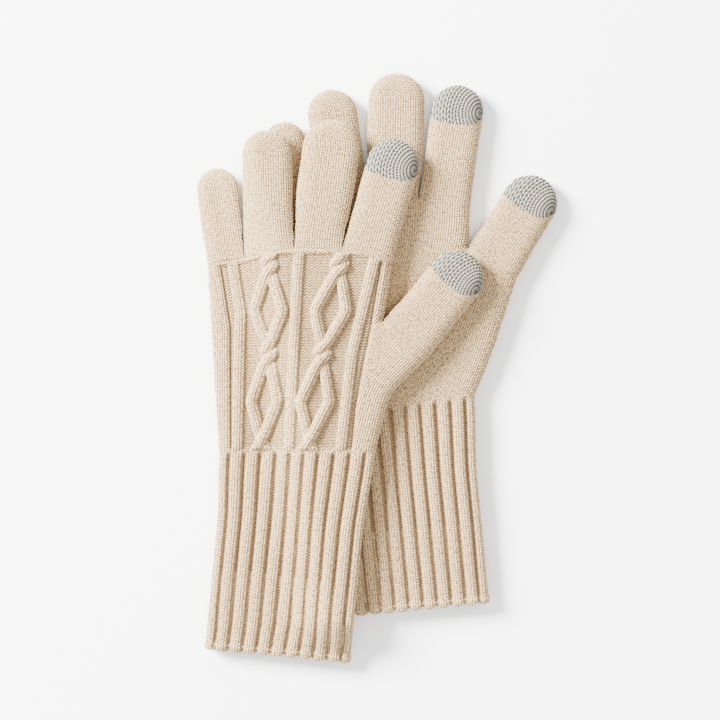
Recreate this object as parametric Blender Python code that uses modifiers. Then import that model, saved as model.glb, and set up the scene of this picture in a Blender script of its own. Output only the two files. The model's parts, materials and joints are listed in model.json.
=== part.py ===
"""A pair of long-cuffed knitted touch-screen gloves, laid flat with the left glove on the right one.

Each glove is an assembly of the tubes and panels that it is knitted from: a cuff with its cast-on edge,
a back and a palm panel, four fingers and a thumb, and the conductive tips of the index finger and thumb.
Every piece is a hollow knit wall. The right glove lies palm up on the table. The left glove lies back up
on top of it, and hangs down over the right glove's edge to the table.

Metres, +Z up. The origin is below the middle of the pair, on the table.
"""
import math

import bmesh
import bpy
from mathutils import Matrix, Vector

# ---- driving dimensions: one glove ----
GLOVE_THICKNESS = 0.010      # an empty glove, from the table to its top
WALL = 0.0018                # the knitted wall
EDGE_ROUND = 0.008           # how far in from the side the section is round
JOIN_GAP = 0.0004            # between neighbouring pieces
BASE_GAP = 0.0009            # between the hand and a finger's base, which is room to turn in
CUFF_EDGE_GAP = 0.0007       # between the cuff and its cast-on edge
WRIST_WIDTH = 0.082
CUFF_WIDTH = 0.077           # at the cast-on edge
CUFF_LENGTH = 0.105          # with the cast-on edge
CUFF_EDGE_LENGTH = 0.004
PALM_LENGTH = 0.0968         # from the wrist to the little finger
KNUCKLE_LEFT = -0.0468       # the little finger's outer corner, from the wrist's middle
TIP_LENGTH = 0.019           # of the conductive knitting
CROTCH_LEAN = 9.0            # degrees clockwise: the side of the hand between index finger and thumb

# ---- driving dimensions: fingers, in order across the hand ----
#          name      base width  slant of base  widest   length
FINGERS = (
    ("pinky", 0.0193, 9.3, 0.0215, 0.0480),
    ("ring", 0.0264, 9.8, 0.0260, 0.0630),
    ("middle", 0.0248, -0.9, 0.0295, 0.0670),
    ("index", 0.0274, -16.5, 0.0272, 0.0625),
)
THUMB_WIDTH = 0.0300
THUMB_WIDEST = 0.0290

# ---- how each glove lies ----
#   where: the middle of its wrist; turn: anticlockwise; cuff_lean and leans: clockwise from the glove's axis
#   gusset: where the thumb gusset leaves the side, from the wrist's middle
#   crotch_drop: from the index finger's base to the thumb's crotch
#   stretch: how much further the knit of a finger is pulled out than on the other glove
LEFT_GLOVE = {
    "where": (-0.0398, -0.0426),
    "turn": 0.0,
    "cuff_lean": 5.6,
    "leans": {"pinky": -6.4, "ring": -0.8, "middle": 7.5, "index": 15.5, "thumb": 39.5},
    "gusset": (0.0478, 0.0286),
    "crotch_drop": 0.0290,
    "thumb_length": 0.0545,
    "stretch": {},
}
RIGHT_GLOVE = {
    "where": (0.0117, -0.0187),
    "turn": 6.5,
    "cuff_lean": 1.0,
    "leans": {"pinky": -7.0, "ring": -1.5, "middle": 7.5, "index": 14.5, "thumb": 38.0},
    "gusset": (0.0503, 0.0160),
    "crotch_drop": 0.0195,
    "thumb_length": 0.0505,
    "stretch": {"pinky": 0.0062, "ring": 0.0008},
}
STACK_GAP = 0.0006           # between the two gloves
DRAPE_RUN = 0.030            # how far the upper glove takes to come down to the table
DRAPE_MARGIN = 0.003         # how far past the lower glove it stays up

# ---- shaping, as shares ----
BASE_TURN_SHARE = 0.3        # of a finger, where its rings have turned square to it
BASE_GROWTH_SHARE = 0.45     # of a finger, where it is widest
CUFF_BEND_SHARE = 0.5        # of the cuff, where its rings have turned square to it
CUFF_TAPER_SHARE = 0.4       # of the cuff, where it is as narrow as its edge
DRAPE_END_SHARE = 0.7        # of the drape's run, at the lower glove's end

# ---- how finely the surfaces are divided ----
ACROSS_FINGER = (-1.0, -0.93, -0.72, -0.4, 0.0, 0.4, 0.72, 0.93, 1.0)
ACROSS_CUFF = (-1.0, -0.97, -0.9, -0.78, -0.58, -0.35, -0.12, 0.12, 0.35, 0.58, 0.78, 0.9, 0.97, 1.0)
#   the rim of a hand panel, from its edge inwards: how far in, and how high, as shares
PANEL_RIM = ((0.0, 0.0), (0.01, 0.45), (0.3, 0.8), (1.0, 1.0))
#   rows of points up the thumb side: shares of each stretch, by the stretch's start
WRIST_ROWS = (0.0, 0.5)
GUSSET_ROWS = (0.0, 0.55, 1.0)
THUMB_ROWS = (0.33, 0.67, 1.0)
CROTCH_ROWS = (0.12, 0.6, 1.0)
CUFF_RINGS = 7
TUBE_RINGS = 5
DOME_RINGS = 4
DOME_LAST_GAP = 0.6          # the last step to the tip's end, in ring steps
SHARP_EDGE = 50.0            # degrees, where shading breaks

WOOL = (0.69, 0.58, 0.46)
CONDUCTIVE = (0.55, 0.56, 0.55)


def smooth(value):
    """0 below 0, 1 above 1 and an S curve between."""
    value = min(max(value, 0.0), 1.0)
    return value * value * (3.0 - 2.0 * value)


def mix(first, second, share):
    return first + (second - first) * share


def heading(lean):
    """The way something points that leans this many degrees clockwise from +Y."""
    return Vector((math.sin(math.radians(lean)), math.cos(math.radians(lean))))


def across(lean):
    """The way across it, to its right."""
    return Vector((math.cos(math.radians(lean)), -math.sin(math.radians(lean))))


def interpolate(points, along):
    """The value at `along` on a line through (position, value) points, flat past its ends."""
    if along <= points[0][0]:
        return points[0][1]
    for (low, first), (high, second) in zip(points, points[1:]):
        if along <= high:
            return mix(first, second, (along - low) / (high - low))
    return points[-1][1]


class Glove:
    """The plan of one glove, in the table's plane."""

    def __init__(self, side, lie):
        self.side = side
        self.lie = lie
        self.turn = Matrix.Rotation(math.radians(lie["turn"]), 2)
        self.where = Vector(lie["where"])
        self.corners = self.knuckle_corners()
        self.thumb_corners = self.thumb_base()

    def place(self, point):
        """A point of the glove's own plan, on the table."""
        return self.where + self.turn @ Vector(point)

    def lean(self, digit):
        return self.lie["leans"][digit]

    def stretched(self, digit, length):
        return length + self.lie["stretch"].get(digit, 0.0)

    def knuckle_corners(self):
        """The corners between the finger bases, from the little finger's outer side to the index's."""
        corners = [Vector((KNUCKLE_LEFT, PALM_LENGTH))]
        for _, width, slant, _, _ in FINGERS:
            corners.append(corners[-1] + width * across(-slant))
        return corners

    def thumb_base(self):
        """The crotch, and the lower end of the thumb's base."""
        index = self.corners[-1]
        crotch = index - self.lie["crotch_drop"] * heading(CROTCH_LEAN)
        return crotch, crotch + THUMB_WIDTH * across(self.lean("thumb"))

    def right_side(self):
        """Points up the thumb side of the hand. Each says whether the side is open there."""
        crotch, below = self.thumb_corners
        wrist, gusset = Vector((WRIST_WIDTH / 2, 0.0)), Vector(self.lie["gusset"])
        stretches = ((wrist, gusset, WRIST_ROWS, False), (gusset, below, GUSSET_ROWS, False),
                     (below, crotch, THUMB_ROWS, True), (crotch, self.corners[-1], CROTCH_ROWS, False))
        points = []
        for start, end, shares, is_open in stretches:
            points += [(mix(start, end, share), is_open) for share in shares]
        return points

    def left_side(self, height):
        """The point of the little-finger side at this height above the wrist."""
        share = height / self.corners[-1].y
        return mix(Vector((-WRIST_WIDTH / 2, 0.0)), self.corners[0], share)

    def cuff_centre(self, share):
        """The middle of the cuff, from the wrist (0) to the cast-on edge (1), and its lean there."""
        lean = self.lie["cuff_lean"]
        centre = -share * CUFF_LENGTH * heading(lean)
        return centre, lean * smooth(share / CUFF_BEND_SHARE)

    def cuff_corner(self, side):
        centre, lean = self.cuff_centre(1.0)
        return self.place(centre + side * CUFF_WIDTH / 2 * across(lean))


LEFT = Glove("left", LEFT_GLOVE)
RIGHT = Glove("right", RIGHT_GLOVE)


def lower_edge():
    """The little-finger side of the lower glove, as (y, x) points up the table."""
    name, _, _, widest, length = FINGERS[0]
    lean = RIGHT.lean(name)
    tip = mix(RIGHT.corners[0], RIGHT.corners[1], 0.5) + RIGHT.stretched(name, length) * heading(lean)
    tip_side = tip - widest / 2 * (across(lean) + heading(lean))
    places = (RIGHT.cuff_corner(-1), RIGHT.place((-WRIST_WIDTH / 2, 0.0)),
              RIGHT.place(RIGHT.corners[0]), RIGHT.place(tip_side))
    return [(place.y, place.x) for place in places]


LOWER_EDGE = lower_edge()
LOWER_END = min(RIGHT.cuff_corner(-1).y, RIGHT.cuff_corner(1).y)


def rest_height(point, side):
    """The height of a glove's underside at a point on the table."""
    if side == "right":
        return 0.0
    edge = interpolate(LOWER_EDGE, point.y) - DRAPE_MARGIN
    over_side = smooth((point.x - edge + DRAPE_RUN) / DRAPE_RUN)
    end_run = DRAPE_END_SHARE * DRAPE_RUN
    over_end = smooth((point.y - LOWER_END + DRAPE_MARGIN + end_run) / end_run)
    return (GLOVE_THICKNESS + STACK_GAP) * over_side * over_end


def half_height(from_side, half_width):
    """Half the section's height, this far in from its side."""
    reach = min(EDGE_ROUND, half_width)
    short = max(0.0, 1.0 - from_side / reach)
    return GLOVE_THICKNESS / 2 * math.sqrt(max(0.0, 1.0 - short * short))


def ring(glove, centre, direction, half_width, stations, flatten=1.0):
    """One closed ring round a tube: over its top from left to right, and back below."""
    top = []
    for share in stations:
        spot = glove.place(centre + share * half_width * direction)
        rise = half_height(half_width * (1.0 - abs(share)), half_width) * flatten
        middle = rest_height(spot, glove.side) + GLOVE_THICKNESS / 2
        top.append((spot, middle, rise))
    over = [Vector((spot.x, spot.y, middle + rise)) for spot, middle, rise in top]
    under = [Vector((spot.x, spot.y, middle - rise)) for spot, middle, rise in reversed(top[1:-1])]
    return over + under


def mesh_from(rows, closed, name, tip=None):
    """A sheet through rows of points. Closed rows are rings, and a tip point closes the last one."""
    mesh = bmesh.new()
    grid = [[mesh.verts.new(point) for point in row] for row in rows]
    for lower, upper in zip(grid, grid[1:]):
        count = len(lower)
        for place in range(count if closed else count - 1):
            after = (place + 1) % count
            mesh.faces.new((lower[place], lower[after], upper[after], upper[place]))
    if tip is not None:
        end = mesh.verts.new(tip)
        last = grid[-1]
        for place in range(len(last)):
            mesh.faces.new((last[place], last[(place + 1) % len(last)], end))
    data = bpy.data.meshes.new(name)
    mesh.to_mesh(data)
    mesh.free()
    return data


def knit_wall(name, data, surface, faces_out):
    """A named piece: the sheet given as its outer face, made one knitted wall thick."""
    piece = bpy.data.objects.new(name, data)
    COLLECTION.objects.link(piece)
    wall = piece.modifiers.new("wall", "SOLIDIFY")
    wall.thickness = WALL
    wall.offset = -1.0
    wall.use_even_offset = True
    if not faces_out:
        data.flip_normals()
    data.materials.append(surface)
    data.shade_smooth()
    data.set_sharp_from_angle(angle=math.radians(SHARP_EDGE))
    return piece


def material(name, colour, roughness):
    made = bpy.data.materials.new(name)
    made.use_nodes = True
    shader = made.node_tree.nodes["Principled BSDF"]
    shader.inputs["Base Color"].default_value = (*colour, 1.0)
    shader.inputs["Roughness"].default_value = roughness
    shader.inputs["Metallic"].default_value = 0.0
    made.diffuse_color = (*colour, 1.0)
    return made


def digit_rings(glove, base, lean, widest, length, spans):
    """The rings of a finger between its base corners and its tip, at these distances from the base."""
    left, right = base
    middle = mix(left, right, 0.5)
    base_half = (right - left).length / 2 - JOIN_GAP / 2
    base_way = (right - left).normalized()
    radius = widest / 2
    rows = []
    for distance in spans:
        share = distance / length
        way = mix(base_way, across(lean), smooth(share / BASE_TURN_SHARE)).normalized()
        half = mix(base_half, radius, smooth(share / BASE_GROWTH_SHARE))
        past = max(0.0, (distance - (length - radius)) / radius)
        half *= math.sqrt(max(0.0, 1.0 - past * past))
        flatten = math.sqrt(max(0.0, 1.0 - past ** 4))
        rows.append(ring(glove, middle + distance * heading(lean), way, half, ACROSS_FINGER, flatten))
    return rows


def digit_spans(first, last):
    """Distances from `first` to `last`, evenly spread."""
    return [mix(first, last, place / (TUBE_RINGS - 1)) for place in range(TUBE_RINGS)]


def dome_spans(length, widest, first):
    """Distances for a rounded tip that starts at `first`."""
    radius = widest / 2
    dome = length - radius
    spans = [first] if first < dome - JOIN_GAP else []
    return spans + [dome + radius * math.sin(math.pi / 2 * place / (DOME_RINGS + DOME_LAST_GAP))
                    for place in range(DOME_RINGS + 1)]


def digit_tip(glove, base, lean, length):
    """The very end of a finger."""
    spot = glove.place(mix(base[0], base[1], 0.5) + length * heading(lean))
    return Vector((spot.x, spot.y, rest_height(spot, glove.side) + GLOVE_THICKNESS / 2))


def digit(glove, name, base, widest, length, wool, tip_material, pivot):
    """A finger or thumb tube, with a conductive tip where a tip material is given."""
    lean = glove.lean(name)
    end = digit_tip(glove, base, lean, length)
    if tip_material is None:
        spans = digit_spans(BASE_GAP, length - widest / 2)[:-1] + dome_spans(length, widest, length)
        rows = digit_rings(glove, base, lean, widest, length, spans)
        pieces = [knit_wall(f"{glove.side}_{name}", mesh_from(rows, True, name, end), wool, True)]
    else:
        split = length - TIP_LENGTH
        rows = digit_rings(glove, base, lean, widest, length, digit_spans(BASE_GAP, split))
        pieces = [knit_wall(f"{glove.side}_{name}", mesh_from(rows, True, name), wool, True)]
        spans = dome_spans(length, widest, split + JOIN_GAP)
        rows = digit_rings(glove, base, lean, widest, length, spans)
        cap = mesh_from(rows, True, f"{name}_tip", end)
        pieces.append(knit_wall(f"{glove.side}_{name}_tip", cap, tip_material, True))
    hang_on(pieces, f"{glove.side}_{name}_pivot", pivot)
    return pieces


def base_pivot(glove, left, right):
    """A point on the crease where a piece bends up: the middle of its base, at the base's highest top."""
    middle = glove.place(mix(left, right, 0.5))
    rise = max(rest_height(glove.place(mix(left, right, share)), glove.side) for share in (0.0, 0.5, 1.0))
    return Vector((middle.x, middle.y, rise + GLOVE_THICKNESS))


def hang_on(pieces, name, pivot):
    """Hangs pieces on an empty at their pivot, with their meshes where they were."""
    empty = bpy.data.objects.new(name, None)
    empty.location = pivot
    COLLECTION.objects.link(empty)
    for piece in pieces:
        piece.data.transform(Matrix.Translation(-pivot))
        piece.parent = empty


def hand_rows(glove, upper):
    """Rows of points over one panel of the hand, from the wrist to the knuckles."""
    corners = glove.corners
    front = [corners[0]]
    for first, second in zip(corners, corners[1:]):
        front += [mix(first, second, 0.5), second]
    width = corners[-1].x - corners[0].x
    inner = [(point.x - corners[0].x) / width for point in front[1:-1]]
    side = 1.0 if upper else -1.0
    rows = []
    sides = glove.right_side()
    crotch_height = glove.thumb_corners[0].y
    for right, is_open in sides:
        left = glove.left_side(right.y)
        span = (right - left).length
        rim = [reach_in * EDGE_ROUND / span for reach_in, _ in PANEL_RIM]
        shares = rim + [share for share in inner if rim[-1] < share < 1.0 - rim[-1]]
        shares += [1.0 - share for share in reversed(rim)]
        reach = smooth((right.y - crotch_height) / (corners[-1].y - crotch_height))
        row = []
        for place, share in enumerate(shares):
            from_edge = min(place, len(shares) - 1 - place, len(PANEL_RIM) - 1)
            rise = PANEL_RIM[from_edge][1] * GLOVE_THICKNESS / 2
            if is_open and share > 0.5:
                rise = GLOVE_THICKNESS / 2
            rise = max(rise, JOIN_GAP / 2)
            flat = mix(left, right, share)
            ahead = interpolate([(x, point.y) for x, point in zip([0.0] + inner + [1.0], front)], share)
            flat = flat + Vector((0.0, (ahead - mix(front[0].y, front[-1].y, share)) * reach))
            spot = glove.place(flat)
            middle = rest_height(spot, glove.side) + GLOVE_THICKNESS / 2
            row.append(Vector((spot.x, spot.y, middle + side * rise)))
        rows.append(row)
    return rows


def even_rows(rows):
    """Rows with the same number of points: a row that lost inner points gets them back, evenly spread."""
    most = max(len(row) for row in rows)
    return [row if len(row) == most else resample(row, most) for row in rows]


def resample(row, count):
    rim = len(PANEL_RIM) - 1
    inner = row[rim:-rim]
    wanted = count - 2 * rim
    spread = []
    for place in range(wanted):
        at = place * (len(inner) - 1) / (wanted - 1)
        low = min(int(at), len(inner) - 2)
        spread.append(mix(inner[low], inner[low + 1], at - low))
    return row[:rim] + spread + row[-rim:]


def cuff_rows(glove, first, last, count):
    rows = []
    for place in range(count):
        share = mix(first, last, place / (count - 1))
        centre, lean = glove.cuff_centre(share)
        width = mix(WRIST_WIDTH, CUFF_WIDTH, smooth(share / CUFF_TAPER_SHARE))
        rows.append(ring(glove, centre, across(lean), width / 2, ACROSS_CUFF))
    return rows


def build_glove(glove, wool, conductive):
    """Every piece of one glove."""
    side = glove.side
    upper, lower = ("hand_back", "hand_palm") if side == "left" else ("hand_palm", "hand_back")
    over = mesh_from(even_rows(hand_rows(glove, True)), False, upper)
    under = mesh_from(even_rows(hand_rows(glove, False)), False, lower)
    knit_wall(f"{side}_{upper}", over, wool, True)
    knit_wall(f"{side}_{lower}", under, wool, False)

    edge_share = 1.0 - CUFF_EDGE_LENGTH / CUFF_LENGTH
    slit = JOIN_GAP / CUFF_LENGTH
    tube = mesh_from(cuff_rows(glove, slit, edge_share, CUFF_RINGS), True, "cuff")
    welt_start = edge_share + CUFF_EDGE_GAP / CUFF_LENGTH
    welt = mesh_from(cuff_rows(glove, welt_start, 1.0, 2), True, "cuff_edge")
    cuff = knit_wall(f"{side}_cuff", tube, wool, False)
    edge = knit_wall(f"{side}_cuff_edge", welt, wool, False)
    wrist = Vector((WRIST_WIDTH / 2, 0.0))
    hang_on([cuff, edge], f"{side}_cuff_pivot", base_pivot(glove, -wrist, wrist))

    for place, (name, _, _, widest, length) in enumerate(FINGERS):
        base = glove.corners[place], glove.corners[place + 1]
        tip = conductive if name == "index" else None
        reach = glove.stretched(name, length)
        digit(glove, name, base, widest, reach, wool, tip, base_pivot(glove, *base))
    base = glove.thumb_corners
    pivot = base_pivot(glove, *base)
    digit(glove, "thumb", base, THUMB_WIDEST, glove.lie["thumb_length"], wool, conductive, pivot)


def centre_on_origin():
    """Moves everything so that the pair's box stands centred on the origin."""
    bpy.context.view_layer.update()
    meshes = [piece for piece in COLLECTION.objects if piece.type == "MESH"]
    corners = [piece.matrix_world @ vertex.co for piece in meshes for vertex in piece.data.vertices]
    low = Vector(min(corner[axis] for corner in corners) for axis in range(3))
    high = Vector(max(corner[axis] for corner in corners) for axis in range(3))
    shift = Vector(((low.x + high.x) / 2, (low.y + high.y) / 2, low.z))
    for thing in COLLECTION.objects:
        if thing.parent is None:
            thing.location -= shift


for leftover in list(bpy.data.objects):
    bpy.data.objects.remove(leftover)
COLLECTION = bpy.data.collections.new("knitted_gloves")
bpy.context.scene.collection.children.link(COLLECTION)
WOOL_KNIT = material("beige_knit", WOOL, 0.9)
TOUCH_KNIT = material("grey_touch_knit", CONDUCTIVE, 0.75)
for each in (LEFT, RIGHT):
    build_glove(each, WOOL_KNIT, TOUCH_KNIT)
centre_on_origin()
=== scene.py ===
"""The looks of a pair of knitted touch-screen gloves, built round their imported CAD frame.

Each visible piece is a fine grid laid over the same plan as its CAD node. Ribs, cables, seams and every
stitch are relief on that grid, and a UV map in wales (across) and courses (along) drives the materials.
Lengths here are millimetres until a mesh is made.
"""
import json
import math

import bpy
import numpy as np
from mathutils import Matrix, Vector


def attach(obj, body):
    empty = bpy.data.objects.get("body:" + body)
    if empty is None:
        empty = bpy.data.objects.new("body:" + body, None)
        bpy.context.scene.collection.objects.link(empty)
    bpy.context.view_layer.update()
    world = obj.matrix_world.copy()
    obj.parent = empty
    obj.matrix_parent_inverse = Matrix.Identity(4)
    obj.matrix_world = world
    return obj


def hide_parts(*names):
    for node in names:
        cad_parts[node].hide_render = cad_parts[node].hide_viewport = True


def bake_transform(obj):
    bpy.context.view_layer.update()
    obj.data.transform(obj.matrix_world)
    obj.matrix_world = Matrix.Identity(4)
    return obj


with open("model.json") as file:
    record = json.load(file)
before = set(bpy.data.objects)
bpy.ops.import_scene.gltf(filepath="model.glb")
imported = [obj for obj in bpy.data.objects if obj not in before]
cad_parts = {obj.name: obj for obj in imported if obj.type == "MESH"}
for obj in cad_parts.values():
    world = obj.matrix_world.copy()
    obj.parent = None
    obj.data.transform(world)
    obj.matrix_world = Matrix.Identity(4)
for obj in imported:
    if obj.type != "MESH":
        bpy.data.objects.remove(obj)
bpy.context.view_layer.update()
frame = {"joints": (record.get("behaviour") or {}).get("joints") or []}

MM = 0.001

# ---- the knit ----
WALE = 2.6                # width of one column of stitches
COURSE = 1.47             # height of one row of stitches
STITCH_RELIEF = 0.5
TIP_WALE = 3.3            # the same of the conductive knitting
TIP_TURN = 50 / (2 * math.pi)       # its courses in one radian round the whorl
TIP_RELIEF = 0.55
TIP_GATHER = 5.0          # how far round the whorl the stitches are gathered flat
#   the whorl's middle: from the tip, and across as a share of half the width
WHORL = (12.6, 0.93)
WHORL_SQUASH = 0.82       # the rounds are this much lower than they are long
WHORL_DEPTH = 0.9         # how much of the surface's drop counts as distance from the whorl
WHORL_SHADE = 6.0         # how far the painted shade of the gathered middle reaches
#   where the plain knitting's wales turn to above the thumb: how far from its base, and their lean
WALE_TURN = ((20.0, 32.0), (45.0, 20.0), (90.0, 13.0))

# ---- one glove ----
THICK = 10.0
TIP_THINNING = 0.06       # how much thinner a finger lies at its tip, as a share
REACH = 8.5               # how far in from a side the section is round
APEX_REACH = 5.0          # the same round a crotch between two fingers
APEX_KEEP = 0.55          # how deep the pinch there is
CROTCH_RUN = 9.0          # how far up the fingers the pinch goes
WRIST = 82.0
CUFF_WIDTH = 77.0
CUFF_LENGTH = 105.0
EDGE_LENGTH = 4.0
CUFF_WALL = 2.4
RIBS = 22                 # round the cuff
RIB_DEPTH = 2.3
RIB_PROUD = 0.35          # how far a rib's top stands out past the CAD surface
RIB_STITCH_RELIEF = 0.45
SCALLOP = 1.1             # how far a rib's end reaches past the cast-on edge's grooves
PALM_LENGTH = 96.8
KNUCKLE_LEFT = -46.8
TIP_LENGTH = 19.6
#   the conductive knitting's edge: its distance from the tip, less these across and on the thumb side
TIP_EDGES = {"index": (20.8, 1.2, 13.0), "thumb": (20.0, 2.0, 18.0)}
TIP_EDGE_TURN = 0.45
THUMB_WIDTH = 30.0
CROTCH_LEAN = 9.0         # degrees clockwise: the hand's side between index finger and thumb
BASE_TURN_SHARE = 0.3     # of a finger, where its rings have turned square to it
BASE_GROWTH_SHARE = 0.45  # of a finger, where it is widest
CUFF_BEND_SHARE = 0.5     # of the cuff, where its rings have turned square to it
CUFF_TAPER_SHARE = 0.4    # of the cuff, where it is as narrow as its edge
CUFF_SQUEEZE = (0.6, 0.4, 0.10)     # from this share of the cuff, over this share, so much thinner
#            base width, slant of base, widest, length
FINGERS = {
    "pinky": (19.3, 9.3, 21.5, 48.0),
    "ring": (26.4, 9.8, 26.0, 63.0),
    "middle": (24.8, -0.9, 29.5, 67.0),
    "index": (27.4, -16.5, 27.2, 62.5),
}
THUMB_WIDEST = 29.0
LEFT_LIE = {
    "turn": 0.0, "cuff_lean": 5.6, "crotch_drop": 29.0, "thumb_length": 54.5, "gusset": (47.8, 28.6),
    "leans": {"pinky": -6.4, "ring": -0.8, "middle": 7.5, "index": 15.5, "thumb": 39.5}, "stretch": {},
}
RIGHT_LIE = {
    "turn": 6.5, "cuff_lean": 1.0, "crotch_drop": 19.5, "thumb_length": 50.5, "gusset": (50.3, 16.0),
    "leans": {"pinky": -7.0, "ring": -1.5, "middle": 7.5, "index": 14.5, "thumb": 38.0},
    "stretch": {"pinky": 6.2, "ring": 0.8},
}
RIGHT_FROM_LEFT = np.array([51.5, 23.9])     # from the left wrist's middle to the right one's
STACK_GAP = 0.6
DRAPE_RUN = 30.0
DRAPE_MARGIN = 3.0
DRAPE_END_SHARE = 0.7     # of the drape's run, at the lower glove's end

# ---- how uneven the surfaces are ----
DIGIT_UNEVEN = 0.25
HAND_UNEVEN = 0.3
CUFF_UNEVEN = 0.8
TIP_UNEVEN = 0.35

# ---- how finely the surfaces are divided ----
FINE = 0.38
COARSE = 1.1
CUFF_ROW = 0.46
CHAIN_STEP = 0.5
LINES_ON = {"wrist": 12.0, "thumb": 22.0, "pinky": 14.0}     # how far the side lines run on past the hand
END_SHARE = 0.999         # past this share across, a point is on the side line itself

# ---- yarns: colours (the deep one is painted shade in the gaps between stitches), the stitch heights that are in the gaps, the marl's span of noise, and sheen ----
WOOL_YARN = {
    "pale": (0.515, 0.383, 0.212), "warm": (0.235, 0.127, 0.049), "deep": (0.13, 0.068, 0.03),
    "gap": (0.04, 0.62), "marl": (0.42, 0.53), "sheen": 0.10,
}
TOUCH_YARN = {
    "pale": (0.385, 0.358, 0.285), "warm": (0.20, 0.187, 0.148), "deep": (0.035, 0.031, 0.025),
    "gap": (0.25, 0.95), "marl": (0.36, 0.54), "sheen": 0.05,
}
MARL_FIBRE = 0.28         # how much of the marl is single fibres and not whole strands
HOLLOW_SHADE = 0.62       # how much painted shade darkens the colour between ridges
LONG_WAVE = (0.10, 0.95)  # the slow change of tone over the fabric, and what it adds to
FUZZ = 0.35

# ---- the view and the light, in metres ----
CAMERA_HEIGHT = 1.8
VIEW_WIDTH = 0.3744
VIEW_CENTRE = (-0.00887, 0.00307)
SENSOR = 36.0
FLOOR_DROP = 0.0004       # the floor is just below the lowest stitches
FLOOR_TONE = (0.97, 0.965, 0.96, 1.0)
#         place, size, watts
LIGHTS = {
    "key": ((-2.1, 1.2, 1.32), 1.25, 960.0),
    "fill": ((0.35, -0.3, 1.3), 0.9, 10.0),
}
SKY = 1.85

JOINTS = {joint["name"]: joint for joint in frame["joints"]}


def smooth(value):
    value = np.clip(value, 0.0, 1.0)
    return value * value * (3.0 - 2.0 * value)


def mix(first, second, share):
    return first + (second - first) * share


def heading(lean):
    """Unit vectors that lean this many degrees clockwise from +Y, as rows."""
    angle = np.radians(lean)
    return np.stack([np.sin(angle), np.cos(angle)], -1)


def across(lean):
    angle = np.radians(lean)
    return np.stack([np.cos(angle), -np.sin(angle)], -1)


def round_share(inward, reach):
    """The share of a section's half height, this far in from its side."""
    short = np.clip(1.0 - inward / reach, 0.0, 1.0)
    return np.sqrt(1.0 - short * short)


def wavy(x, y, seed):
    """A smooth unevenness between about -1 and 1, the same each run."""
    total = np.zeros(np.broadcast(x, y).shape)
    for octave, (size, weight) in enumerate(((31.0, 0.5), (17.0, 0.3), (9.0, 0.2))):
        phase = seed * 1.7 + octave * 2.1
        total += weight * np.sin(x / size * 2 * np.pi / 1.9 + phase + np.sin(y / size * 2.3 + phase))
        total += weight * np.sin(y / size * 2 * np.pi / 2.3 - phase + np.sin(x / size * 2.9 - phase))
    return total / 1.6


class Plan:
    """One glove's plan. Its own frame has the wrist's middle at 0 and the fingers ahead, along y."""

    def __init__(self, side, where, lie):
        self.side = side
        self.lie = lie
        self.where = np.asarray(where, float)
        angle = math.radians(lie["turn"])
        self.turn = np.array([[math.cos(angle), -math.sin(angle)], [math.sin(angle), math.cos(angle)]])
        corners = [np.array([KNUCKLE_LEFT, PALM_LENGTH])]
        for width, slant, _, _ in FINGERS.values():
            corners.append(corners[-1] + width * across(-slant))
        self.corners = np.array(corners)
        self.crotch = corners[-1] - lie["crotch_drop"] * heading(CROTCH_LEAN)
        self.below = self.crotch + THUMB_WIDTH * across(self.lean("thumb"))

    def place(self, points):
        """Points of the glove's own frame, on the table."""
        return self.where + np.asarray(points) @ self.turn.T

    def lean(self, digit):
        return self.lie["leans"][digit]

    def base(self, digit):
        """A digit's two base corners, widest width and length."""
        if digit == "thumb":
            return self.crotch, self.below, THUMB_WIDEST, self.lie["thumb_length"]
        number = list(FINGERS).index(digit)
        _, _, widest, length = FINGERS[digit]
        reach = length + self.lie["stretch"].get(digit, 0.0)
        return self.corners[number], self.corners[number + 1], widest, reach

    def base_middle(self, digit):
        left, right, _, _ = self.base(digit)
        return mix(left, right, 0.5)

    def right_side(self):
        """The thumb side of the hand, up to the thumb's base."""
        gusset = np.array(self.lie["gusset"])
        start = np.array([WRIST / 2, 0.0])
        below = self.below
        side = [start, mix(start, gusset, 0.5), gusset, mix(gusset, below, 0.55), below]
        return [start - [0.0, LINES_ON["wrist"]], *rounded(side, 4)]

    def right_line(self):
        """The thumb side of the hand and the start of the thumb's."""
        return chained(*self.right_side(), self.below + LINES_ON["thumb"] * heading(self.lean("thumb")))

    def wale_line(self):
        """What the plain knitting's wales run along: the thumb side, then up beside the fingers."""
        ahead = [self.below + reach * heading(lean) for reach, lean in WALE_TURN]
        return chained(*self.right_side(), *rounded([self.below, *ahead], 3)[1:])

    def left_line(self):
        """The little-finger side of the hand."""
        side = [[-WRIST / 2, -LINES_ON["wrist"]], [-WRIST / 2, 0.0], self.corners[0]]
        return chained(*side, self.corners[0] + LINES_ON["pinky"] * heading(self.lean("pinky")))

    def cuff_centre(self, share):
        """The middle of the cuff at shares of its length, and the lean of its rings there."""
        lean = self.lie["cuff_lean"]
        middle = -np.asarray(share)[..., None] * CUFF_LENGTH * heading(lean)
        return middle, lean * smooth(share / CUFF_BEND_SHARE)

    def cuff_corner(self, side):
        centre, lean = self.cuff_centre(np.float64(1.0))
        return self.place(centre + side * CUFF_WIDTH / 2 * across(lean))


def rounded(points, times):
    """A chain of points with its corners cut this many times."""
    points = np.array(points, float)
    for _ in range(times):
        first, second = points[:-1], points[1:]
        cut = np.stack([mix(first, second, 0.25), mix(first, second, 0.75)], 1).reshape(-1, 2)
        points = np.vstack([points[:1], cut[1:-1], points[-1:]])
    return points


def chained(*points):
    """A chain with points close together."""
    points = np.array(points, float)
    steps = np.linalg.norm(np.diff(points, axis=0), axis=1)
    along = np.concatenate([[0.0], np.cumsum(steps)])
    wanted = np.arange(0.0, along[-1], CHAIN_STEP)
    return np.stack([np.interp(wanted, along, points[:, axis]) for axis in (0, 1)], -1)


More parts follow.
